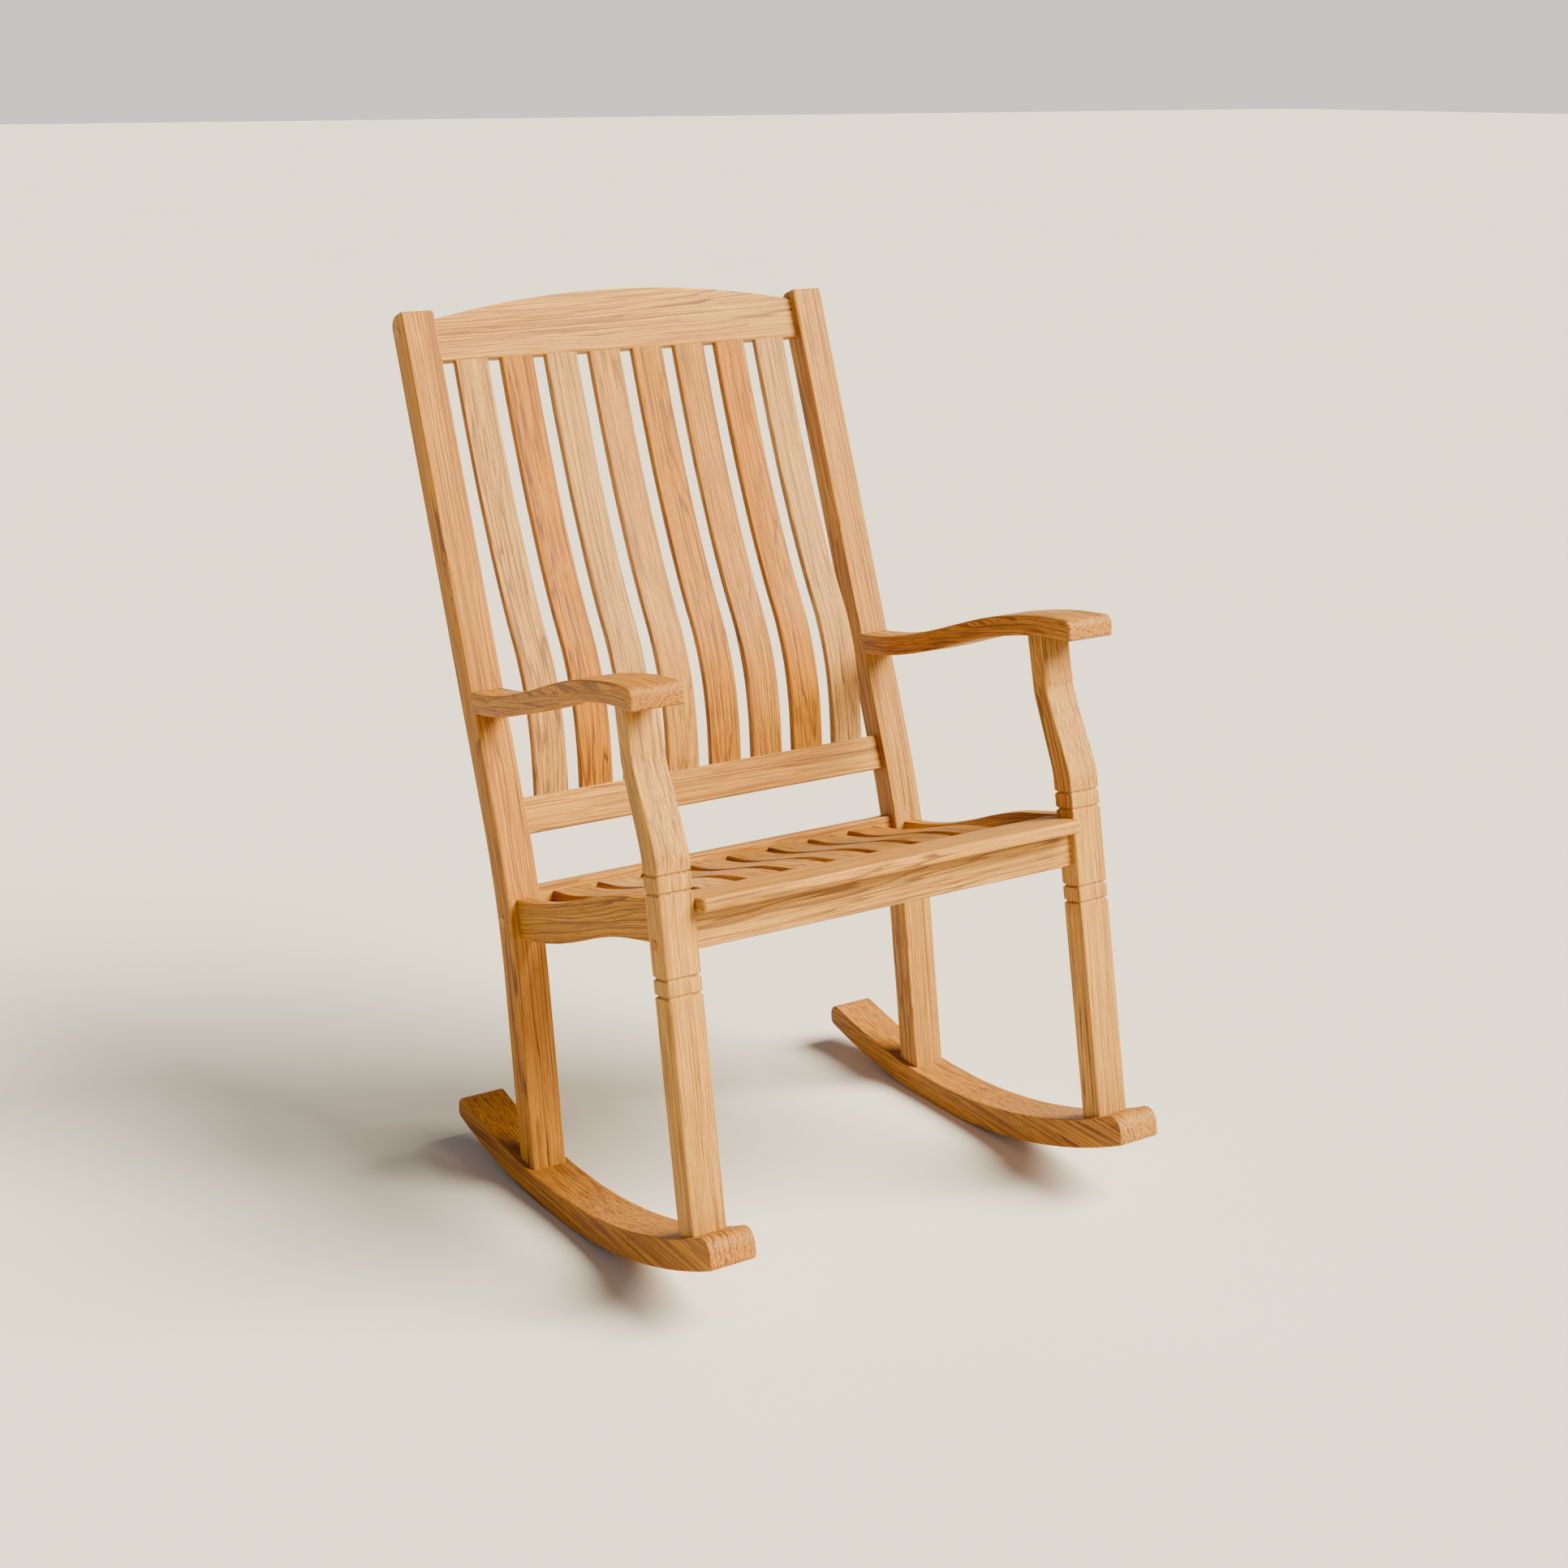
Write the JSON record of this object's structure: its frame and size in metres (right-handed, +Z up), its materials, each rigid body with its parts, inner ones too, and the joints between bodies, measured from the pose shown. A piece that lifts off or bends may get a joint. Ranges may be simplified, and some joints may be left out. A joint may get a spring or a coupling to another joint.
{
  "type": "rocking chair",
  "caption": "Wooden rocking chair with a dished slatted seat, a tall curved slat back under an arched crest rail, swept arms and grooved front legs.",
  "frame": {"origin": "on the floor, under the middle of the chair's bounding box, with the empty chair leaning back at rest on its rockers", "axes": "+Z up, -Y towards the front of the chair, where the sitter's legs go, +X towards the sitter's left hand"},
  "size_m": [0.6796, 0.7714, 1.0831],
  "materials": {
    "post_wood": "satin oiled hardwood, straight grain along the post",
    "leg_wood": "satin oiled hardwood, straight grain up the leg",
    "rocker_wood": "satin oiled hardwood, grain along the rocker",
    "arm_wood": "satin oiled hardwood, grain along the arm",
    "rail_wood": "satin oiled hardwood, grain along the rail",
    "seat_slat_wood": "satin oiled hardwood, grain along the slat",
    "back_slat_wood": "satin oiled hardwood, darker figure that differs from slat to slat",
    "peg_wood": "satin end grain",
    "inner_wood": "plain hardwood"
  },
  "bodies": {
    "root": {"rear_post_left": "post_wood", "rear_post_right": "post_wood", "front_leg_left": "leg_wood", "front_leg_right": "leg_wood", "rocker_left": "rocker_wood", "rocker_right": "rocker_wood", "arm_left": "arm_wood", "arm_right": "arm_wood", "side_rail_left": "rail_wood", "side_rail_right": "rail_wood", "front_apron": "rail_wood", "front_seat_board": "rail_wood", "rear_seat_rail": "rail_wood", "crest_rail": "rail_wood", "lower_back_rail": "rail_wood", "seat_slat_1": "seat_slat_wood", "seat_slat_2": "seat_slat_wood", "seat_slat_3": "seat_slat_wood", "seat_slat_4": "seat_slat_wood", "seat_slat_5": "seat_slat_wood", "seat_slat_6": "seat_slat_wood", "seat_slat_7": "seat_slat_wood", "seat_slat_8": "seat_slat_wood", "back_slat_1": "back_slat_wood", "back_slat_2": "back_slat_wood", "back_slat_3": "back_slat_wood", "back_slat_4": "back_slat_wood", "back_slat_5": "back_slat_wood", "back_slat_6": "back_slat_wood", "back_slat_7": "back_slat_wood", "back_slat_8": "back_slat_wood", "crest_peg_left": "peg_wood", "crest_peg_right": "peg_wood", "rear_seat_peg_left": "peg_wood", "rear_seat_peg_right": "peg_wood", "front_seat_peg_left": "peg_wood", "front_seat_peg_right": "peg_wood", "front_cleat": "inner_wood", "rear_cleat": "inner_wood", "rocker_dowel_front_left": "inner_wood", "rocker_dowel_front_right": "inner_wood", "rocker_dowel_rear_left": "inner_wood", "rocker_dowel_rear_right": "inner_wood", "arm_leg_dowel_left": "inner_wood", "arm_leg_dowel_right": "inner_wood", "arm_post_dowel_left": "inner_wood", "arm_post_dowel_right": "inner_wood"}
  },
  "joints": []
}
